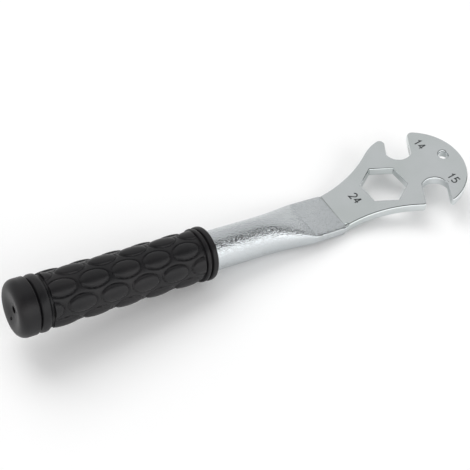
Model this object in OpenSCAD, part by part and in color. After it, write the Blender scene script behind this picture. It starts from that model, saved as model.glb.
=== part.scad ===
// Pedal wrench: a flat steel head with a hexagon and two open jaws, welded at an angle
// to a round tube whose end is pressed flat, with a moulded grip on the other end.
// The hexagon's centre is the origin, +X points to the head's tip, and the whole tool
// is turned about it by lie_pitch so that it lies as it does on a table.

/* [Head plate] */
// Thickness of the head plate
plate_t = 6; // [4.5:0.25:8]
// Angle between the head plate and the handle
head_tilt = 17; // [5:1:25]
// Distance along the plate from the hexagon's centre to the weld seam
seam_d = 38.5; // [34:0.5:50]
// Radius of the round head
head_r = 31.7; // [28:0.1:36]
// Distance from the hexagon's centre to the centre of the round head
head_x = 21.5; // [20:0.5:25]
// Sideways place of the round head's centre
head_y = -1; // [-3:0.5:3]
// Width of the plate's neck at the seam
neck_w = 27; // [24:0.5:30]
// Radius of the hollow curves beside the neck
neck_blend_r = 80; // [60:5:90]
// Place at which the neck begins to widen on the metric jaw's side
neck_start_x = -33; // [-34:0.5:-30]
// Diameter of the hanging hole
hang_d = 6; // [4:0.5:8]
// Distance from the hexagon's centre to the hanging hole
hang_x = 44; // [42:0.5:46]

/* [Hexagon and jaws] */
// Hexagon, across its flats
hex_af = 24; // [17:0.5:26]
// Clearance added to the hexagon and to both jaws
fit_clearance = 0.2; // [0:0.05:0.6]
// Width of the inch-size jaw, which opens to the left
jaw_a_w = 14.3; // [12:0.1:16]
// Sideways place of that jaw's middle line, from the hexagon's centre
jaw_a_offset = 12; // [11:0.1:13]
// Depth level of that jaw's bottom, from the hexagon's centre
jaw_a_bottom = 19.2; // [17:0.1:22]
// Width of the metric jaw, which opens to the right
jaw_b_w = 15; // [12:0.1:17]
// Sideways place of that jaw's middle line, from the hexagon's centre
jaw_b_offset = 30; // [29:0.1:31]
// Depth level of that jaw's bottom, from the hexagon's centre
jaw_b_bottom = 2.8; // [0:0.1:5]
// Angle of both jaws' middle lines to the head's own long axis
jaw_angle = 60; // [55:1:65]
// How much wider than the jaw the curve of its bottom is
jaw_floor_extra = 0.8; // [0.2:0.1:2]
// Radius of the long prongs' rounded corners
prong_r = 3.2; // [1:0.1:3.6]
// Radius of the small corner at the metric jaw's near side
short_prong_r = 0.9; // [0.5:0.1:1.5]
// Radius of the metric jaw's nose
nose_r = 1.2; // [0.5:0.1:1.5]

/* [Handle tube] */
// Outer diameter of the tube
tube_d = 22.2; // [20:0.1:25]
// Wall of the tube
tube_wall = 1.8; // [1.2:0.1:2.2]
// Length of the tube from the seam to its end in the grip
tube_l = 192.7; // [150:0.1:230]
// Thickness of the pressed end
flat_t = 6.4; // [5:0.1:8]
// Length of the fully pressed end
flat_l = 21.5; // [15:0.5:30]
// Width of the pressed end
flat_w = 28.8; // [26:0.1:30]
// Length over which the round tube runs out into the pressed end
press_l = 36; // [25:1:45]

/* [Grip] */
// Length of the grip
grip_l = 108.2; // [90:0.1:130]
// Radial play between tube and grip
grip_play = 0.1; // [0:0.05:0.3]
// Radius of the grip's body between its pads
body_r = 13.2; // [12.6:0.1:14]
// Height of the oval pads above the body
pad_h = 1.3; // [0.6:0.1:1.8]
// Length of one oval pad
pad_l = 15.2; // [10:0.2:16.6]
// Radius of a pad's curve around the handle
pad_round_r = 6; // [5:0.1:6.6]
// Spacing of the pads along the grip
pad_pitch = 17.2; // [16:0.1:18]
// Distance from the butt end to the middle of the first whole pad
pad_start = 22.7; // [19:0.1:24]
// Pairs of pad rows around the grip, the second row of each pair set half a pitch further
pad_row_pairs = 4; // [3:1:4]
// Turn of the pad rows around the handle
pad_turn = 22; // [0:1:44]
// Radius of the closed butt end
butt_r = 14.5; // [14:0.1:15.5]
// Length of the butt end behind its bead
butt_l = 9.2; // [7:0.1:11]
// Radius of the butt end's rounded rim
butt_round_r = 4.4; // [2:0.1:5]
// Width of the bead next to the butt end
bead_w = 5.2; // [4:0.1:7]
// Width of the grooves beside bead and collar
groove_w = 1.2; // [0.8:0.1:2]
// Radius at the bottom of those grooves
groove_r = 12.8; // [12.4:0.1:13.4]
// Wall that closes the butt end
end_wall = 3; // [2:0.5:5]
// Diameter of the vent hole in the butt end
vent_d = 2.4; // [1.5:0.1:4]
// Radius of the collar at the front of the grip
collar_r = 14.8; // [14:0.1:15.5]
// Width of that collar
collar_w = 6.6; // [4:0.2:8]
// Depth of the two ring grooves in the collar
ring_groove = 0.5; // [0.2:0.1:0.8]

/* [Rest] */
// Slope of the handle when the tool lies on a table, head end lower
lie_pitch = 7.6; // [4:0.1:10]

/* [Hidden] */
$fn = 96;
cut = 1;
reach = 100;
tube_r = tube_d / 2;
seam_x = seam_d * cos(head_tilt);
axis_drop = seam_d * sin(head_tilt);
head_centre = [head_x, head_y];
jaw_u = [cos(jaw_angle), sin(jaw_angle)];
jaw_n = [sin(jaw_angle), -cos(jaw_angle)];
ring_sides = 48;
ring_count = 14;
corner_fullness = 0.25;
ring_sink = 0.03;
press_lap = 2;
arc_step = 0.8;
touch_gap = 1;
body_from = butt_l + bead_w + 2 * groove_w;
body_to = grip_l - collar_w - groove_w;
pad_count = ceil((body_to - pad_start) / pad_pitch) + 1;
pad_arc_r = (pow(pad_l / 2, 2) + pow(pad_h, 2)) / (2 * pad_h);

// Frames of the tool lying down, of its head and of its handle
module laid() {
    rotate([0, lie_pitch, 0]) children();
}

module on_head() {
    laid() rotate([0, -head_tilt, 0]) children();
}

module on_handle() {
    laid() translate([-seam_x, 0, -axis_drop]) children();
}

// A point of the head plane, from its depth along the jaws and its place across them
function jaw_point(depth, across) = jaw_u * depth + jaw_n * across;

// Depth at which the round head's edge lies, at a place across the jaws
function rim_depth(across, side, radius) =
    let (d = across - head_centre * jaw_n)
    head_centre * jaw_u + side * sqrt(radius * radius - d * d);

function direction(v) = atan2(v[1], v[0]);

// Points of an arc from one angle to another, turning left if turn is 1 and right if -1
function arc(centre, radius, from, to, turn = 1) =
    let (sweep = turn * ((turn * (to - from) % 360 + 360) % 360))
    let (n = max(2, ceil(abs(sweep) * PI / 180 * radius / arc_step)))
    [for (i = [0:n]) centre + radius * [cos(from + sweep * i / n), sin(from + sweep * i / n)]];

// Centre of the circle that rounds the corner between a jaw's side and the round head
function prong_centre(side, wall_across, into, radius) =
    let (across = wall_across + into * radius)
    jaw_point(rim_depth(across, side, head_r - radius), across);

// Centre of the hollow curve between neck and round head, on the inch jaw's side
function left_blend_centre() =
    let (rise = neck_w / 2 + neck_blend_r - head_y)
    [head_x - sqrt(pow(head_r + neck_blend_r, 2) - rise * rise), neck_w / 2 + neck_blend_r];

// Centre of the corner between the metric jaw's side and the hollow curve of the neck
function short_prong_centre(blend, wall_across) =
    let (across = wall_across - short_prong_r)
    let (d = across - blend * jaw_n)
    jaw_point(blend * jaw_u + sqrt(pow(neck_blend_r + short_prong_r, 2) - d * d), across);

// Curved bottom of a jaw, which opens along jaw_u if side is 1 and against it if -1
function jaw_floor(side, offset, bottom, half) =
    let (floor_r = half + jaw_floor_extra)
    let (spread = asin(half / floor_r))
    let (inward = direction(-side * jaw_u))
    arc(jaw_point(bottom + side * floor_r, offset), floor_r,
        inward + spread, inward - spread, -1);

// Outline of the head plate, all the way round to the left
function head_points() =
    let (half_a = (jaw_a_w + fit_clearance) / 2)
    let (half_b = (jaw_b_w + fit_clearance) / 2)
    let (right_blend = [neck_start_x, -neck_w / 2 - neck_blend_r])
    let (short_prong = short_prong_centre(right_blend, jaw_b_offset - half_b))
    let (nose = prong_centre(-1, jaw_b_offset + half_b, 1, nose_r))
    let (right_prong = prong_centre(1, jaw_a_offset + half_a, 1, prong_r))
    let (left_prong = prong_centre(1, jaw_a_offset - half_a, -1, prong_r))
    let (to_nose = direction(nose - head_centre))
    let (to_right = direction(right_prong - head_centre))
    let (to_left = direction(left_prong - head_centre))
    let (left_blend = left_blend_centre())
    let (to_short = direction(short_prong - right_blend))
    let (across_dir = direction(jaw_n))
    concat(
        [[-seam_d - plate_t, -neck_w / 2]],
        arc(right_blend, neck_blend_r, 90, to_short + touch_gap / 8, -1),
        arc(short_prong, short_prong_r, to_short + 180, across_dir),
        jaw_floor(-1, jaw_b_offset, jaw_b_bottom, half_b),
        arc(nose, nose_r, across_dir + 180, to_nose),
        arc(head_centre, head_r, to_nose + touch_gap, to_right - touch_gap),
        arc(right_prong, prong_r, to_right, across_dir + 180),
        jaw_floor(1, jaw_a_offset, jaw_a_bottom, half_a),
        arc(left_prong, prong_r, across_dir, to_left),
        arc(head_centre, head_r, to_left + touch_gap,
            direction(left_blend - head_centre) - touch_gap),
        arc(left_blend, neck_blend_r, direction(head_centre - left_blend), 270, -1),
        [[-seam_d - plate_t, neck_w / 2]]);

module head_outline() {
    difference() {
        polygon(head_points());
        rotate(30) circle((hex_af + fit_clearance) / 2 / cos(30), $fn = 6);
        translate([hang_x, head_y]) circle(hang_d / 2);
    }
}

module head_plate() {
    color("silver") difference() {
        on_head() translate([0, 0, -plate_t / 2]) linear_extrude(plate_t) head_outline();
        on_handle() translate([-reach, -reach / 2, -reach / 2]) cube([reach, reach, reach]);
    }
}

// Share of the pressing at a place along the tube, from 0 where round to 1 where flat
function pressed(x) =
    let (u = min(1, max(0, (flat_l + press_l - x) / press_l)))
    u * u;

// Sine or cosine drawn out towards its ends, which turns a circle into a rounded oblong
function squared(v, power) = sign(v) * pow(abs(v), power);

// One ring of the pressed tube, from a circle where round to a rounded oblong where flat
function tube_ring(x, inset) =
    let (s = pressed(x))
    let (half_w = tube_r + (flat_w / 2 - tube_r) * s - inset - ring_sink)
    let (half_t = tube_r + (flat_t / 2 - tube_r) * s - inset - ring_sink)
    let (power = 1 + (corner_fullness - 1) * s)
    [for (i = [0:ring_sides - 1])
        let (a = 360 * (i + 0.5) / ring_sides)
        [-x, half_w * squared(cos(a), power), half_t * squared(sin(a), power)]];

// Closed surface through rings of equal point counts
module ring_loft(rings) {
    n = len(rings[0]);
    last = (len(rings) - 1) * n;
    points = [for (ring = rings) each ring];
    sides = [for (k = [0:len(rings) - 2]) for (i = [0:n - 1])
        let (j = (i + 1) % n)
        each [[k * n + i, k * n + j, (k + 1) * n + j], [k * n + i, (k + 1) * n + j, (k + 1) * n + i]]];
    first_cap = [[for (i = [0:n - 1]) n - 1 - i]];
    last_cap = [[for (i = [0:n - 1]) last + i]];
    polyhedron(points, concat(first_cap, sides, last_cap), convexity = 6);
}

module pressed_end() {
    places = concat([0], [for (k = [0:ring_count]) flat_l + press_l * k / ring_count],
                    [flat_l + press_l + press_lap]);
    last = len(places) - 1;
    cut_places = [for (k = [0:last]) places[k] + (k == 0 ? -cut : k == last ? cut : 0)];
    difference() {
        ring_loft([for (x = places) tube_ring(x, 0)]);
        ring_loft([for (x = cut_places) tube_ring(x, tube_wall)]);
    }
}

module handle_tube() {
    round_l = tube_l - flat_l - press_l;
    color("silver") on_handle() {
        pressed_end();
        translate([-tube_l, 0, 0]) rotate([0, 90, 0]) difference() {
            cylinder(h = round_l, r = tube_r);
            translate([0, 0, -cut]) cylinder(h = round_l + 2 * cut, r = tube_r - tube_wall);
        }
    }
}

// Half section of the grip, along its axis from the butt end and out from it
module grip_section() {
    collar_at = grip_l - collar_w;
    square([grip_l, groove_r]);
    square([butt_l, butt_r - butt_round_r]);
    translate([butt_round_r, 0]) square([butt_l - butt_round_r, butt_r]);
    translate([butt_round_r, butt_r - butt_round_r]) circle(butt_round_r);
    translate([butt_l + groove_w, 0]) square([bead_w, butt_r]);
    translate([body_from, 0]) square([body_to - body_from, body_r]);
    difference() {
        translate([collar_at, 0]) square([collar_w, collar_r]);
        for (k = [1:2])
            translate([collar_at + k * collar_w / 3, collar_r]) circle(ring_groove);
    }
}

// One oval pad: a barrel along the handle whose top stands out of the grip's body
module pad() {
    rotate_extrude(convexity = 4) intersection() {
        translate([pad_round_r - pad_arc_r, 0]) circle(pad_arc_r);
        translate([0, -pad_l / 2]) square([pad_round_r, pad_l]);
    }
}

// All pads, ending where the body ends at the grooves of bead and collar
module pads() {
    rows = 2 * pad_row_pairs;
    intersection() {
        translate([0, 0, body_from]) cylinder(h = body_to - body_from, r = body_r + 2 * pad_h);
        for (row = [0:rows - 1]) for (k = [-1:pad_count])
            let (at = pad_start + (k + row % 2 / 2) * pad_pitch)
                if (at + pad_l / 2 > body_from && at - pad_l / 2 < body_to)
                    rotate(pad_turn + 360 * row / rows)
                        translate([body_r + pad_h - pad_round_r, 0, at]) pad();
    }
}

module grip() {
    color("#1c1c1e") on_handle() translate([-tube_l - end_wall, 0, 0]) rotate([0, 90, 0])
        difference() {
            union() {
                rotate_extrude(convexity = 6) rotate(90) mirror([0, 1]) grip_section();
                pads();
            }
            translate([0, 0, end_wall]) cylinder(h = grip_l, r = tube_r + grip_play);
            translate([0, 0, -cut]) cylinder(h = end_wall + 2 * cut, d = vent_d);
        }
}

head_plate();
handle_tube();
grip();
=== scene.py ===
import math

import bmesh
import bpy
import numpy as np
from mathutils import Matrix, Vector
from mathutils.geometry import delaunay_2d_cdt


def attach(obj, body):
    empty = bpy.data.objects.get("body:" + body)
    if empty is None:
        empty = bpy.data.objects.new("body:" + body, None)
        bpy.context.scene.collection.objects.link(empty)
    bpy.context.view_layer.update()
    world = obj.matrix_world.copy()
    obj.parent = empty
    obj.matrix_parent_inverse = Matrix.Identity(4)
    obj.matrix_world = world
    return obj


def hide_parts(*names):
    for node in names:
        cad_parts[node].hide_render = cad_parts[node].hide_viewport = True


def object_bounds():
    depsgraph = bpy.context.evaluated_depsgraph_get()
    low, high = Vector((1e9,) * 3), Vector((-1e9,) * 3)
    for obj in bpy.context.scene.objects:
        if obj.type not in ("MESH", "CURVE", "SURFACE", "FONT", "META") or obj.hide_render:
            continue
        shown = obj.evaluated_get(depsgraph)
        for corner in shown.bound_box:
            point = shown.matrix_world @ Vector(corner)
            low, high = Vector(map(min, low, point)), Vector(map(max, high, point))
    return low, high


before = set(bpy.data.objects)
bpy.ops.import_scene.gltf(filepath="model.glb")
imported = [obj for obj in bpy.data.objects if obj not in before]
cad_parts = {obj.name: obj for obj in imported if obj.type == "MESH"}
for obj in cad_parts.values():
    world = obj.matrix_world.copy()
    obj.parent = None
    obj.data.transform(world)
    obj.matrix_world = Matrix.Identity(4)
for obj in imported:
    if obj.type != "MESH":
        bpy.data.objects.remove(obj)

mm = 0.001
cadLow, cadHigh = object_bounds()
scene = bpy.context.scene

# how the tool lies: the handle slopes down to the head, the head plate rises again
pose = {"liePitch": 7.6, "headTilt": 17.0, "seamDistance": 38.5}


def turnY(degrees):
    # turning about Y as a 3 by 3 matrix
    c, s = math.cos(math.radians(degrees)), math.sin(math.radians(degrees))
    return np.array([[c, 0, s], [0, 1, 0], [-s, 0, c]])


def onHead(points):
    # from the plate's own plane to the lying tool
    return points @ (turnY(pose["liePitch"]) @ turnY(-pose["headTilt"])).T


def onHandle(points):
    # from the handle's axis, with the seam at x = 0, to the lying tool
    tilt = math.radians(pose["headTilt"])
    seam = -pose["seamDistance"] * np.array([math.cos(tilt), 0, math.sin(tilt)])
    return (points + seam) @ turnY(pose["liePitch"]).T


def addPiece(name, points, faces, material, sharpAngle=35, cutters=()):
    # a mesh in metres, its faces turned outwards, with sharp edges kept sharp
    mesh = bpy.data.meshes.new(name)
    mesh.from_pydata((points * mm).tolist(), [], faces)
    piece = bpy.data.objects.new(name, mesh)
    scene.collection.objects.link(piece)
    work = bmesh.new()
    work.from_mesh(mesh)
    bmesh.ops.remove_doubles(work, verts=work.verts, dist=1e-7)
    bmesh.ops.recalc_face_normals(work, faces=work.faces)
    work.to_mesh(mesh)
    work.free()
    for cutter in cutters:
        cut = piece.modifiers.new("cut", "BOOLEAN")
        cut.operation, cut.solver, cut.object = "DIFFERENCE", "EXACT", cutter
        bpy.context.view_layer.objects.active = piece
        bpy.ops.object.modifier_apply(modifier=cut.name)
        bpy.data.objects.remove(cutter)
    mesh = piece.data
    mesh.shade_smooth()
    mesh.set_sharp_from_angle(angle=math.radians(sharpAngle))
    mesh.materials.clear()
    mesh.materials.append(material)
    print(name, len(mesh.polygons), "faces")
    return piece


def gridFaces(rows, columns, closedRows=False, start=0):
    # quads of a grid of points whose columns run round
    r = np.arange(rows if closedRows else rows - 1)[:, None]
    c = np.arange(columns)[None, :]
    nextC, nextR = (c + 1) % columns, (r + 1) % rows
    quads = np.stack([r * columns + c, r * columns + nextC,
                      nextR * columns + nextC, nextR * columns + c], -1)
    return (quads.reshape(-1, 4) + start).tolist()


# materials

def nodeTools(tree):
    # short ways to add a node and to join two sockets
    def add(kind, **values):
        node = tree.nodes.new(kind)
        for key, value in values.items():
            setattr(node, key, value)
        return node
    return add, tree.links.new


def grainGroup():
    # fine grain and soft cloudiness on Object coordinates, for plated and moulded surfaces
    group = bpy.data.node_groups.new("surfaceGrain", "ShaderNodeTree")
    for name, kind, value in (("Fine Size", "NodeSocketFloat", 2000.0), ("Cloud Size", "NodeSocketFloat", 40.0),
                              ("Bump Height", "NodeSocketFloat", 0.00001), ("Stretch", "NodeSocketVector", (1, 1, 1))):
        socket = group.interface.new_socket(name, in_out="INPUT", socket_type=kind)
        socket.default_value = value
    for name, kind in (("Grain", "NodeSocketFloat"), ("Cloud", "NodeSocketFloat"), ("Normal", "NodeSocketVector")):
        group.interface.new_socket(name, in_out="OUTPUT", socket_type=kind)
    add, join = nodeTools(group)
    given, out = add("NodeGroupInput"), add("NodeGroupOutput")
    place = add("ShaderNodeTexCoord")
    stretch = add("ShaderNodeVectorMath", operation="MULTIPLY")
    join(place.outputs["Object"], stretch.inputs[0])
    join(given.outputs["Stretch"], stretch.inputs[1])
    fine, cloud = add("ShaderNodeTexNoise"), add("ShaderNodeTexNoise")
    fine.inputs["Detail"].default_value = 1
    cloud.inputs["Detail"].default_value = 2
    bump = add("ShaderNodeBump")
    join(stretch.outputs[0], fine.inputs["Vector"])
    join(place.outputs["Object"], cloud.inputs["Vector"])
    join(given.outputs["Fine Size"], fine.inputs["Scale"])
    join(given.outputs["Cloud Size"], cloud.inputs["Scale"])
    join(given.outputs["Bump Height"], bump.inputs["Distance"])
    join(fine.outputs["Fac"], bump.inputs["Height"])
    join(fine.outputs["Fac"], out.inputs["Grain"])
    join(cloud.outputs["Fac"], out.inputs["Cloud"])
    join(bump.outputs["Normal"], out.inputs["Normal"])
    return group


surfaceGrain = grainGroup()


def finish(name, look):
    # a Principled surface whose colour and roughness vary with the shared grain
    material = bpy.data.materials.new(name)
    material.use_nodes = True
    tree = material.node_tree
    add, join = nodeTools(tree)
    shader = tree.nodes["Principled BSDF"]
    shader.inputs["Metallic"].default_value = look["metallic"]
    shader.inputs["Specular IOR Level"].default_value = look.get("specular", 0.5)
    grain = add("ShaderNodeGroup", node_tree=surfaceGrain)
    for key in ("Fine Size", "Cloud Size", "Bump Height", "Stretch"):
        grain.inputs[key].default_value = look[key]
    colour = add("ShaderNodeMix", data_type="RGBA")
    colour.inputs[6].default_value = (*look["dark"], 1)
    colour.inputs[7].default_value = (*look["light"], 1)
    spread = add("ShaderNodeMapRange")
    spread.inputs["From Min"].default_value = 0.3
    spread.inputs["From Max"].default_value = 0.7
    join(grain.outputs["Cloud"], spread.inputs["Value"])
    join(spread.outputs["Result"], colour.inputs["Factor"])
    rough = add("ShaderNodeMapRange")
    rough.inputs["To Min"].default_value, rough.inputs["To Max"].default_value = look["roughness"]
    join(grain.outputs["Grain"], rough.inputs["Value"])
    join(colour.outputs[2], shader.inputs["Base Color"])
    join(rough.outputs["Result"], shader.inputs["Roughness"])
    join(grain.outputs["Normal"], shader.inputs["Normal"])
    return material


plateSteel = finish("platedHeadSteel", {
    "metallic": 1.0, "light": (0.66, 0.69, 0.70), "dark": (0.61, 0.65, 0.645), "roughness": (0.12, 0.20),
    "Fine Size": 900.0, "Cloud Size": 45.0, "Bump Height": 0.000008, "Stretch": (1, 1, 1)})
# partly real and partly painted shade: the number grooves get a rougher steel, and its far darker colour is painted
# shade for the inside of the pressed numbers
grooveShadeSteel = finish("pressedMarkPaintedShade", {
    "metallic": 1.0, "light": (0.16, 0.17, 0.17), "dark": (0.08, 0.085, 0.09), "roughness": (0.3, 0.45),
    "Fine Size": 900.0, "Cloud Size": 300.0, "Bump Height": 0.00002, "Stretch": (1, 1, 1)})
tubeSteel = finish("platedTubeSteel", {
    "metallic": 1.0, "light": (0.61, 0.64, 0.655), "dark": (0.57, 0.60, 0.615), "roughness": (0.10, 0.20),
    "Fine Size": 1300.0, "Cloud Size": 45.0, "Bump Height": 0.0004, "Stretch": (1, 1, 1)})
gripRubber = finish("mouldedGripRubber", {
    "metallic": 0.0, "light": (0.014, 0.013, 0.014), "dark": (0.008, 0.008, 0.009), "roughness": (0.36, 0.48),
    "specular": 0.28, "Fine Size": 1500.0, "Cloud Size": 60.0, "Bump Height": 0.000012, "Stretch": (1, 1, 1)})
print("materials done")

# head plate

plateSize = {
    "thickness": 6.0, "headRadius": 31.67, "headX": 21.5, "headY": -1.0,
    "neckWidth": 27.0, "blendRadius": 80.0, "neckStartX": -33.0, "hangDiameter": 6.0, "hangX": 44.0,
    "hexAcrossFlats": 24.0, "clearance": 0.2, "jawAngle": 60.0, "floorExtra": 0.8,
    "inchWidth": 14.3, "inchOffset": 12.0, "inchBottom": 19.2,
    "metricWidth": 15.0, "metricOffset": 30.0, "metricBottom": 2.8,
    "prongRadius": 3.2, "shortProngRadius": 1.4, "noseRadius": 1.4,
    "edgeRadius": 1.15, "edgeSteps": 10, "holdWidth": 0.08, "seamShare": 0.06, "arcStep": 0.45,
}


def arc(centre, radius, start, end, turn=1):
    # centre plus radius times (cos, sin) of angles from start to end, left round if turn is 1
    sweep = turn * ((turn * (end - start)) % 360)
    count = max(2, math.ceil(abs(math.radians(sweep)) * radius / plateSize["arcStep"]))
    angle = np.radians(start + sweep * np.linspace(0, 1, count + 1))
    return np.asarray(centre) + radius * np.stack([np.cos(angle), np.sin(angle)], -1)


def headOutline(size):
    # arcs of the round head, neck, prongs and jaw bottoms, joined by straight jaw sides
    u = np.array([math.cos(math.radians(size["jawAngle"])), math.sin(math.radians(size["jawAngle"]))])
    n = np.array([u[1], -u[0]])
    head, radius = np.array([size["headX"], size["headY"]]), size["headRadius"]

    def direction(v):
        return math.degrees(math.atan2(v[1], v[0]))

    def prong(side, wallAt, into, cornerRadius):
        across = wallAt + into * cornerRadius
        off = across - head @ n
        depth = head @ u + side * math.sqrt((radius - cornerRadius) ** 2 - off ** 2)
        return u * depth + n * across

    def jawFloor(side, offset, bottom, half):
        floorRadius = half + size["floorExtra"]
        spread = math.degrees(math.asin(half / floorRadius))
        inward = direction(-side * u)
        centre = u * (bottom + side * floorRadius) + n * offset
        return arc(centre, floorRadius, inward + spread, inward - spread, -1)

    aside = size["neckWidth"] / 2 + size["blendRadius"]
    run = math.sqrt((radius + size["blendRadius"]) ** 2 - (aside - size["headY"]) ** 2)
    low, high = np.array([size["neckStartX"], -aside]), np.array([size["headX"] - run, aside])
    halfInch = (size["inchWidth"] + size["clearance"]) / 2
    halfMetric = (size["metricWidth"] + size["clearance"]) / 2
    across = size["metricOffset"] - halfMetric - size["shortProngRadius"]
    depth = math.sqrt((size["blendRadius"] + size["shortProngRadius"]) ** 2 - (across - low @ n) ** 2)
    short = u * (low @ u + depth) + n * across
    nose = prong(-1, size["metricOffset"] + halfMetric, 1, size["noseRadius"])
    right = prong(1, size["inchOffset"] + halfInch, 1, size["prongRadius"])
    left = prong(1, size["inchOffset"] - halfInch, -1, size["prongRadius"])
    seam = -pose["seamDistance"]
    acrossAngle = direction(n)
    parts = [
        [[seam, -size["neckWidth"] / 2]],
        arc(low, size["blendRadius"], 90, direction(short - low), -1)[:-1],
        arc(short, size["shortProngRadius"], direction(short - low) + 180, acrossAngle),
        jawFloor(-1, size["metricOffset"], size["metricBottom"], halfMetric),
        arc(nose, size["noseRadius"], acrossAngle + 180, direction(nose - head)),
        arc(head, radius, direction(nose - head), direction(right - head))[1:-1],
        arc(right, size["prongRadius"], direction(right - head), acrossAngle + 180),
        jawFloor(1, size["inchOffset"], size["inchBottom"], halfInch),
        arc(left, size["prongRadius"], acrossAngle, direction(left - head)),
        arc(head, radius, direction(left - head), direction(high - head))[1:-1],
        arc(high, size["blendRadius"], direction(head - high), 270, -1),
        [[seam, size["neckWidth"] / 2]],
    ]
    return np.concatenate([np.asarray(p, float) for p in parts])


def inwardShift(loop, edgeShare):
    # how a corner moves when each edge moves into the metal by its share of one unit
    edge = np.roll(loop, -1, 0) - loop
    normal = np.stack([-edge[:, 1], edge[:, 0]], -1) / np.linalg.norm(edge, axis=1)[:, None]
    before, after = np.roll(normal, 1, 0), normal
    shareBefore, shareAfter = np.roll(edgeShare, 1), edgeShare
    cross = before[:, 0] * after[:, 1] - before[:, 1] * after[:, 0]
    safe = np.where(abs(cross) > 0.08, cross, 1)
    corner = np.stack([shareBefore * after[:, 1] - shareAfter * before[:, 1],
                       before[:, 0] * shareAfter - after[:, 0] * shareBefore], -1) / safe[:, None]
    dot = (before * after).sum(1)
    smooth = (before + after) / (1 + dot)[:, None]
    return np.where((abs(cross) > 0.08)[:, None], corner, smooth)


def rimRows(loop, edgeShare, size):
    # a quarter round at both faces: offset r(1 - cos f), height h - r + r sin f, with flat rows to hold it
    half, r = size["thickness"] / 2, size["edgeRadius"]
    f = np.linspace(math.pi / 2, 0, size["edgeSteps"])
    offset = np.concatenate([[r + size["holdWidth"]], r * (1 - np.cos(f)), [0]])
    height = np.concatenate([[half], half - r + r * np.sin(f), [half - r - size["holdWidth"]]])
    offset, height = np.concatenate([offset, offset[::-1]]), np.concatenate([height, -height[::-1]])
    flat = loop[None] + offset[:, None, None] * inwardShift(loop, edgeShare)[None]
    return np.concatenate([flat, np.broadcast_to(height[:, None, None], flat.shape[:2] + (1,))], -1)


def insideLoops(points, loops):
    # even-odd count of loop edges to the right of each point
    count = np.zeros(len(points), int)
    for loop in loops:
        a, b = loop, np.roll(loop, -1, 0)
        x, y = points[:, :1], points[:, 1:]
        spans = (a[:, 1] > y) != (b[:, 1] > y)
        rise = np.where(b[:, 1] == a[:, 1], 1, b[:, 1] - a[:, 1])
        count += (spans & (x < (b[:, 0] - a[:, 0]) * (y - a[:, 1]) / rise + a[:, 0])).sum(1)
    return count % 2 == 1


def flatFace(loops, starts):
    # triangles between the outline and the holes, as point numbers of the whole mesh
    points = np.concatenate(loops)
    edges, numbers, at = [], [], 0
    for loop, start in zip(loops, starts):
        k = np.arange(len(loop))
        edges += np.stack([at + k, at + (k + 1) % len(loop)], -1).tolist()
        numbers += (start + k).tolist()
        at += len(loop)
    found = delaunay_2d_cdt([Vector(p) for p in points.tolist()], edges, [], 0, 1e-7)
    source = np.array([given[0] if given else -1 for given in found[3]])
    triangles = source[np.array(found[2])]
    keep = insideLoops(points[triangles].mean(1), loops)
    return np.array(numbers)[triangles[keep]].tolist()


numberMarks = {
    "height": 4.8, "width": 2.7, "gap": 1.3, "strokeRadius": 0.45, "raised": 0.12, "ringPoints": 12,
    "marks": (("24", -20.6, 0.6), ("15", 36.6, -19.0), ("14", 37.5, 13.4)),
}


def turned(cx, cy, radius, start, end):
    # points of a digit's bowl, in digit heights
    angle = np.radians(np.linspace(start, end, 12))
    return (np.array([cx, cy]) + radius * np.stack([np.cos(angle), np.sin(angle)], -1)).tolist()


# strokes of each digit: across in digit widths' 0 to 0.56, upwards 0 to 1
digitStrokes = {
    "1": ([(0.1, 0.76), (0.34, 1), (0.34, 0)],),
    "2": (turned(0.28, 0.72, 0.28, 165, -38) + [(0.02, 0), (0.56, 0)],),
    "4": ([(0.4, 0), (0.4, 1)], [(0.38, 1), (0, 0.3), (0.6, 0.3)]),
    "5": ([(0.52, 1), (0.1, 1), (0.06, 0.56)] + turned(0.25, 0.31, 0.3, 115, -150),),
}
# pits where the weld starts and ends: x, y and height of the middle, then the three half sizes
weldMarks = ((-36.7, 9.8, 3.15, 0.6, 1.3, 0.7), (-36.2, -12.6, 2.8, 1.2, 1.7, 1.1))


def addCutter(name, mesh, points):
    # a helper mesh whose points are given on the plate
    mesh.vertices.foreach_set("co", (onHead(points) * mm).ravel())
    cutter = bpy.data.objects.new(name, mesh)
    scene.collection.objects.link(cutter)
    return cutter


def meshPoints(mesh):
    co = np.empty(len(mesh.vertices) * 3)
    mesh.vertices.foreach_get("co", co)
    return co.reshape(-1, 3)


def strokeTube(path, size):
    # a round tube along a flat path, mitred at its corners and closed at both ends
    step = np.diff(path, axis=0)
    step /= np.linalg.norm(step, axis=1)[:, None]
    before, after = np.concatenate([step[:1], step]), np.concatenate([step, step[-1:]])
    side = np.stack([-(before + after)[:, 1], (before + after)[:, 0]], -1)
    side *= (2 / (side ** 2).sum(1))[:, None]
    turn = 2 * math.pi * np.arange(size["ringPoints"]) / size["ringPoints"]
    r = size["strokeRadius"]
    flat = path[:, None] + r * np.cos(turn)[None, :, None] * side[:, None]
    height = plateSize["thickness"] / 2 + size["raised"] + r * np.sin(turn)
    points = np.concatenate([flat, np.broadcast_to(height[None, :, None], flat.shape[:2] + (1,))], -1).reshape(-1, 3)
    faces = gridFaces(len(path), size["ringPoints"])
    faces += [list(range(size["ringPoints"]))[::-1], list(range(len(points) - size["ringPoints"], len(points)))]
    return points, faces


def numberCutters(size):
    # plain numbers that read across the handle, pressed into the upper face as round grooves
    cutters = []
    for text, x, y in size["marks"]:
        full = len(text) * size["width"] + (len(text) - 1) * size["gap"]
        for k, digit in enumerate(text):
            along = k * (size["width"] + size["gap"]) - full / 2
            for stroke in digitStrokes[digit]:
                path = np.array(stroke, float) * size["height"] + [along, -size["height"] / 2]
                path = np.stack([x + path[:, 1], y - path[:, 0]], -1)
                points, faces = strokeTube(path, size)
                mesh = bpy.data.meshes.new("stroke")
                mesh.from_pydata(points.tolist(), [], faces)
                cutters.append(addCutter("stroke", mesh, points))
    return cutters


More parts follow.
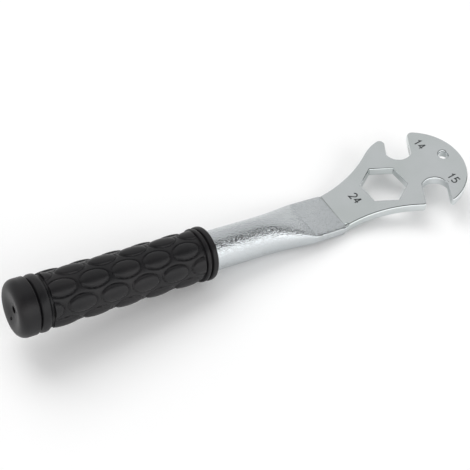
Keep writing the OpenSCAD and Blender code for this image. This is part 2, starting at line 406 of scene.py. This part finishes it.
def weldCutters(marks):
    # small ellipsoids sunk into the plate beside the seam
    cutters = []
    for k, mark in enumerate(marks):
        mesh = bpy.data.meshes.new(f"weld{k}")
        ball = bmesh.new()
        bmesh.ops.create_icosphere(ball, subdivisions=3, radius=1.0)
        ball.to_mesh(mesh)
        ball.free()
        cutters.append(addCutter(f"weld{k}", mesh, meshPoints(mesh) * np.array(mark[3:]) + np.array(mark[:3])))
    return cutters


def shadeFlats(mesh, size):
    # both faces stay flat, and what is pressed into the upper one gets a rougher steel whose dark colour is painted
    # shade for the grooves
    count = len(mesh.polygons)
    centre, normal = np.empty(count * 3), np.empty(count * 3)
    mesh.polygons.foreach_get("center", centre)
    mesh.polygons.foreach_get("normal", normal)
    across = onHead(np.eye(3))
    centre, normal = centre.reshape(-1, 3) / mm @ across.T, normal.reshape(-1, 3) @ across.T
    flat = abs(normal[:, 2]) > 0.99999
    mesh.polygons.foreach_set("use_smooth", ~flat)
    top = size["thickness"] / 2
    pressed = np.zeros(count, bool)
    for text, x, y in numberMarks["marks"]:
        pressed |= np.hypot(centre[:, 0] - x, centre[:, 1] - y) < 4.3
    pressed &= (centre[:, 2] > 0) & (centre[:, 2] < top - 0.01)
    pressed &= abs(normal[:, 2]) > 0.15
    # painted shade: the grooves of the numbers take the dark second material in place of the shade that falls in them
    mesh.materials.append(grooveShadeSteel)
    mesh.polygons.foreach_set("material_index", pressed.astype(int))


def makeHeadPlate(size):
    outline = headOutline(size)
    hexRadius = (size["hexAcrossFlats"] + size["clearance"]) / 2 / math.cos(math.pi / 6)
    hexAngle = np.radians(30 - 60 * np.arange(6))
    hexagon = hexRadius * np.stack([np.cos(hexAngle), np.sin(hexAngle)], -1)
    hang = arc((size["hangX"], size["headY"]), size["hangDiameter"] / 2, 0, -359.99, -1)[:-1]
    loops = [outline, hexagon, hang]
    shares = [np.ones(len(loop)) for loop in loops]
    shares[0][-1] = size["seamShare"]
    grids = [rimRows(loop, share, size) for loop, share in zip(loops, shares)]
    points, faces, firsts, lasts = [], [], [], []
    at = 0
    for grid in grids:
        rows, columns = grid.shape[:2]
        faces += gridFaces(rows, columns, start=at)
        firsts.append(at)
        lasts.append(at + (rows - 1) * columns)
        points.append(grid.reshape(-1, 3))
        at += rows * columns
    faces += flatFace([grid[0, :, :2] for grid in grids], firsts)
    faces += flatFace([grid[-1, :, :2] for grid in grids], lasts)
    points = np.concatenate(points)
    # the end at the seam is square to the handle, not to the plate
    atSeam = points[:, 0] < 1 - pose["seamDistance"]
    points[:, 0] += np.where(atSeam, points[:, 2] * math.tan(math.radians(pose["headTilt"])), 0)
    plate = addPiece("headPlateMetal", onHead(points), faces, plateSteel,
                     cutters=numberCutters(numberMarks) + weldCutters(weldMarks))
    shadeFlats(plate.data, size)
    return plate


headPlate = makeHeadPlate(plateSize)
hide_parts("head_plate")
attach(headPlate, "root")

# handle tube

tubeSize = {
    "diameter": 22.08, "wall": 1.8, "length": 192.7, "flatThickness": 6.34, "flatWidth": 28.8,
    "flatLength": 21.5, "pressLength": 36.0, "cornerFullness": 0.25, "columns": 192, "rows": 110,
    "mouthRadius": 0.1,
}


def tubeSection(x, inset, size):
    # half sizes times cos and sin to a power, which goes from 1 (a circle) to cornerFullness (an oblong)
    share = np.clip((size["flatLength"] + size["pressLength"] - x) / size["pressLength"], 0, 1) ** 2
    r = size["diameter"] / 2
    halfWidth = (r + (size["flatWidth"] / 2 - r) * share - inset)[:, None]
    halfThickness = (r + (size["flatThickness"] / 2 - r) * share - inset)[:, None]
    power = (1 + (size["cornerFullness"] - 1) * share)[:, None]
    # angles drawn together at the oblong's corners and spread where its flats are
    turn = 2 * math.pi * (np.arange(size["columns"]) + 0.5) / size["columns"]
    c, d = np.cos(turn)[None, :], np.sin(turn)[None, :]
    return np.stack([np.broadcast_to(-x[:, None], (len(x), c.shape[1])),
                     halfWidth * np.sign(c) * abs(c) ** power,
                     halfThickness * np.sign(d) * abs(d) ** power], -1)


def makeHandleTube(size):
    e = size["mouthRadius"]
    f = np.linspace(0, math.pi / 2, 6)
    along = np.linspace(e, size["flatLength"] + size["pressLength"], size["rows"])[1:]
    x = np.concatenate([e * (1 - np.cos(f)), along, [size["length"]]])
    inset = np.concatenate([e * (1 - np.sin(f)), np.zeros(len(along) + 1)])
    outer = tubeSection(x, inset, size)
    back = np.concatenate([[0.0], along, [size["length"]]])[::-1]
    inner = tubeSection(back, np.full(len(back), size["wall"]), size)
    rows = np.concatenate([outer, inner])
    faces = gridFaces(len(rows), size["columns"], closedRows=True)
    return addPiece("handleTubeMetal", onHandle(rows.reshape(-1, 3)), faces, tubeSteel)


handleTube = makeHandleTube(tubeSize)
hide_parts("handle_tube")
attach(handleTube, "root")

# grip

gripSize = {
    "length": 108.2, "endWall": 3.0, "bore": 11.2, "bodyRadius": 13.2, "buttRadius": 14.5, "buttLength": 9.2,
    "buttRound": 4.4, "beadWidth": 5.2, "beadRound": 2.3, "grooveWidth": 1.2, "grooveRadius": 12.8,
    "ventRadius": 1.8, "dishDepth": 1.8, "collarRadius": 14.74, "collarWidth": 6.6, "collarRound": 1.0,
    "ringRadius": 14.55, "ringWidth": 2.4, "collarGroove": 1.0,
    "padHeight": 1.3, "padLength": 15.2, "padWidth": 9.4, "padPitch": 17.2, "padStart": 22.7,
    "padGrooveWidth": 0.55, "padGrooveDepth": 0.45, "padRows": 8, "padTurn": 22.0, "columns": 240, "bodyStep": 0.42, "endStep": 0.5,
    "pitAcross": 5.9, "pitRadius": 0.9, "pitDepth": 1.2,
}


def roundCorners(corners, steps=6):
    # a profile through corners (x, r, corner radius), each corner replaced by an arc-like curve
    points = []
    for k, (x, r, radius) in enumerate(corners):
        p = np.array([x, r], float)
        if radius == 0 or k in (0, len(corners) - 1):
            points.append(p[None])
            continue
        before, after = np.array(corners[k - 1][:2]) - p, np.array(corners[k + 1][:2]) - p
        before, after = before / np.linalg.norm(before), after / np.linalg.norm(after)
        half = math.acos(np.clip(before @ after, -1, 1)) / 2
        reach = radius / math.tan(half)
        middle = p + (before + after) / np.linalg.norm(before + after) * radius / math.sin(half)
        start, end = p + before * reach - middle, p + after * reach - middle
        a0, a1 = math.atan2(start[1], start[0]), math.atan2(end[1], end[0])
        sweep = (a1 - a0 + math.pi) % (2 * math.pi) - math.pi
        a = a0 + sweep * np.linspace(0, 1, steps + 1)
        points.append(middle + radius * np.stack([np.cos(a), np.sin(a)], -1))
    return np.concatenate(points)


def fillLong(profile, longest):
    # more points where two neighbours lie further apart than longest
    parts = []
    for p, q in zip(profile[:-1], profile[1:]):
        count = max(1, math.ceil(np.linalg.norm(q - p) / longest))
        parts.append(p + (q - p) * np.linspace(0, 1, count, endpoint=False)[:, None])
    return np.concatenate(parts + [profile[-1:]])


def padHeight(x, angle, size):
    # domes H(1 - d^2)^0.6, d the distance from a pad's middle in pad sizes, with a groove along d = 1
    spacing = 2 * math.pi / size["padRows"]
    row = np.round((angle - math.radians(size["padTurn"])) / spacing)
    tall = np.zeros(np.broadcast(x, angle).shape)
    groove = np.zeros(tall.shape)
    for near in (-1, 0, 1):
        padRow = row + near
        across = (angle - math.radians(size["padTurn"]) - padRow * spacing) * size["bodyRadius"]
        start = size["padStart"] + np.mod(padRow, 2) / 2 * size["padPitch"]
        along = np.mod(x - start + size["padPitch"] / 2, size["padPitch"]) - size["padPitch"] / 2
        d = np.hypot(along / size["padLength"] * 2, across / size["padWidth"] * 2)
        tall = np.maximum(tall, size["padHeight"] * np.clip(1 - d * d, 0, 1) ** 0.6)
        beside = (d - 1) * size["padWidth"] / 2 / size["padGrooveWidth"]
        groove = np.maximum(groove, np.clip(1 - beside * beside, 0, 1) ** 2)
    return tall - size["padGrooveDepth"] * groove


def makeGrip(size):
    g, top = size["grooveRadius"], size["buttRadius"]
    bodyFrom = size["buttLength"] + size["beadWidth"] + 2 * size["grooveWidth"]
    bodyTo = size["length"] - size["collarWidth"] - size["grooveWidth"]
    bead = size["buttLength"] + size["grooveWidth"]
    # the butt face is dished: depth times half of 1 + cos, from the middle out to the rim
    rim = top - size["buttRound"]
    across = np.linspace(size["ventRadius"], rim, 24)
    dish = np.stack([size["dishDepth"] * (0.5 + 0.5 * np.cos(math.pi * across / rim)), across], -1)
    end = np.concatenate([[[size["endWall"], size["ventRadius"]]], dish, roundCorners([
        (0, rim, 0), (0, top, size["buttRound"] - 0.01), (size["buttLength"], top, 0.6),
        (size["buttLength"], g, 0.25), (bead - 0.4, g, 0.25), (bead - 0.4, top, size["beadRound"]),
        (bead + size["beadWidth"], top, size["beadRound"]), (bead + size["beadWidth"], g, 0.15), (bodyFrom, g, 0)], 8)])
    body = np.array([[bodyFrom, size["bodyRadius"]], [bodyTo, size["bodyRadius"]]])
    ring, turn = size["length"] - size["collarWidth"], size["collarRound"]
    flange = ring + size["ringWidth"] + size["collarGroove"]
    corners = [(bodyTo, g, 0), (ring, g, 0.2), (ring, size["ringRadius"], turn),
               (ring + size["ringWidth"], size["ringRadius"], turn), (ring + size["ringWidth"], g, 0.2),
               (flange, g, 0.2), (flange, size["collarRadius"], turn), (size["length"], size["collarRadius"], turn),
               (size["length"], size["bore"], 0.3), (size["endWall"], size["bore"], 0)]
    front = roundCorners(corners, 5)
    end, body = fillLong(end, size["endStep"]), fillLong(body, size["bodyStep"])
    profile = np.concatenate([end, body, front])
    onBody = np.zeros(len(profile), bool)
    onBody[len(end):len(end) + len(body)] = True
    angle = np.linspace(0, 2 * math.pi, size["columns"], endpoint=False)[None, :]
    x, r = profile[:, :1], profile[:, 1:]
    rise = np.where(onBody[:, None], padHeight(x, angle, size), 0)
    radius = r + rise
    y, z = radius * np.cos(angle), radius * np.sin(angle)
    # a small blind pit in the butt face, below its middle
    away = np.hypot(y, z + size["pitAcross"]) / size["pitRadius"]
    onDish = (r < rim) & (x < size["dishDepth"] + 0.01)
    x = x + np.where(onDish, size["pitDepth"] * np.clip((1 - away) * 4, 0, 1), 0)
    shift = -tubeSize["length"] - size["endWall"]
    points = np.stack([x + shift + 0 * y, y, z], -1)
    faces = gridFaces(len(profile), size["columns"], closedRows=True)
    return addPiece("gripMoulding", onHandle(points.reshape(-1, 3)), faces, gripRubber, sharpAngle=50)


grip = makeGrip(gripSize)
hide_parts("grip")
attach(grip, "root")
print("pieces done")

# camera, at the photograph's own angle

shot = {
    "azimuth": -43.85, "elevation": 41.90, "roll": 16.38, "distance": 532.3, "focal": 900.5,
    "hexPixel": (384.17, 183.83), "imageSize": 470.0,
}


def placeCamera(view):
    # the hexagon's upper middle seen at its own pixel, from the measured direction and distance
    a, e, roll = (math.radians(view[k]) for k in ("azimuth", "elevation", "roll"))
    back = np.array([math.sin(a) * math.cos(e), -math.cos(a) * math.cos(e), math.sin(e)])
    level = np.array([math.cos(a), math.sin(a), 0])
    above = np.cross(back, level)
    right = math.cos(roll) * level + math.sin(roll) * above
    up = np.cross(back, right)
    middle = view["imageSize"] / 2
    aside = (view["hexPixel"][0] - middle) / view["focal"] * view["distance"]
    below = (view["hexPixel"][1] - middle) / view["focal"] * view["distance"]
    target = turnY(-pose["headTilt"]) @ np.array([0, 0, plateSize["thickness"] / 2])
    place = target + back * view["distance"] - right * aside + up * below
    lie = turnY(pose["liePitch"])
    turn = np.stack([lie @ right, lie @ up, lie @ back], -1)
    camera = bpy.data.objects.new("camera", bpy.data.cameras.new("camera"))
    scene.collection.objects.link(camera)
    camera.matrix_world = Matrix.Translation(Vector(lie @ place * mm)) @ Matrix(turn.tolist()).to_4x4()
    camera.data.sensor_width = 36
    camera.data.lens = view["focal"] / view["imageSize"] * 36
    camera.data.clip_start, camera.data.clip_end = 0.01, 20
    scene.camera = camera
    return camera


camera = placeCamera(shot)

# floor, world and lamps

studio = {
    "floorColour": (0.92, 0.92, 0.92), "floorSize": 3.0, "worldLight": 0.72,
    # what the metal mirrors, by how far a direction leans from far (-90) over the top (0) to near (90)
    "mirrored": ((-90, 0.78), (-60, 0.74), (-3, 0.72), (4, 0.02), (41, 0.02), (48, 2.6), (62, 1.8), (90, 1.0)),
    # place, width, power and whether metal mirrors it
    "lamps": (((-0.25, 0.75, 1.15), 1.0, 8.0, False), ((0.3, -1.0, 0.5), 0.8, 4.5, False)),
}


def makeFloor(size):
    half = size["floorSize"]
    low = cadLow.z
    mesh = bpy.data.meshes.new("floor")
    corners = [(-half, -half, low), (half, -half, low), (half, half, low), (-half, half, low)]
    mesh.from_pydata(corners, [], [(0, 1, 2, 3)])
    floor = bpy.data.objects.new("floor", mesh)
    scene.collection.objects.link(floor)
    material = bpy.data.materials.new("paleFloor")
    material.use_nodes = True
    shader = material.node_tree.nodes["Principled BSDF"]
    shader.inputs["Base Color"].default_value = (*size["floorColour"], 1)
    shader.inputs["Roughness"].default_value = 0.9
    mesh.materials.append(material)
    return floor


def makeWorld(size):
    # white to the camera and in glass, a room with one dark strip overhead in metal, soft light elsewhere
    world = bpy.data.worlds.new("studioWorld")
    scene.world = world
    world.use_nodes = True
    tree = world.node_tree
    add, join = nodeTools(tree)
    path, place, parts = add("ShaderNodeLightPath"), add("ShaderNodeTexCoord"), add("ShaderNodeSeparateXYZ")
    join(place.outputs["Generated"], parts.inputs[0])
    near = add("ShaderNodeMath", operation="MULTIPLY")
    near.inputs[1].default_value = -1
    join(parts.outputs["Y"], near.inputs[0])
    lean = add("ShaderNodeMath", operation="ARCTAN2")
    join(near.outputs[0], lean.inputs[0])
    join(parts.outputs["Z"], lean.inputs[1])
    share = add("ShaderNodeMapRange")
    share.inputs["From Min"].default_value, share.inputs["From Max"].default_value = -math.pi / 2, math.pi / 2
    join(lean.outputs[0], share.inputs["Value"])
    ramp = add("ShaderNodeValToRGB")
    stops = ramp.color_ramp.elements
    while len(stops) < len(size["mirrored"]):
        stops.new(0.5)
    for stop, (degrees, level) in zip(stops, size["mirrored"]):
        stop.position, stop.color = degrees / 180 + 0.5, (level, level, level, 1)
    join(share.outputs["Result"], ramp.inputs["Fac"])
    plain = add("ShaderNodeMix", data_type="FLOAT")
    plain.inputs[2].default_value = size["worldLight"]
    join(path.outputs["Is Glossy Ray"], plain.inputs["Factor"])
    join(ramp.outputs["Color"], plain.inputs[3])
    clear = add("ShaderNodeMath", operation="MAXIMUM")
    join(path.outputs["Is Camera Ray"], clear.inputs[0])
    join(path.outputs["Is Transmission Ray"], clear.inputs[1])
    strength = add("ShaderNodeMix", data_type="FLOAT")
    strength.inputs[3].default_value = 1.0
    join(clear.outputs[0], strength.inputs["Factor"])
    join(plain.outputs[0], strength.inputs[2])
    background = tree.nodes["Background"]
    background.inputs["Color"].default_value = (1, 1, 1, 1)
    join(strength.outputs[0], background.inputs["Strength"])


def makeLamps(size):
    for k, (place, width, power, mirrored) in enumerate(size["lamps"]):
        data = bpy.data.lights.new(f"softLamp{k}", "AREA")
        data.shape, data.size, data.energy = "SQUARE", width, power
        lamp = bpy.data.objects.new(f"softLamp{k}", data)
        scene.collection.objects.link(lamp)
        lamp.location, lamp.visible_glossy = place, mirrored
        lamp.rotation_euler = (-Vector(place)).to_track_quat("-Z", "Y").to_euler()


floor = makeFloor(studio)
makeWorld(studio)
makeLamps(studio)
scene.view_settings.view_transform = "Standard"
print("stage done")
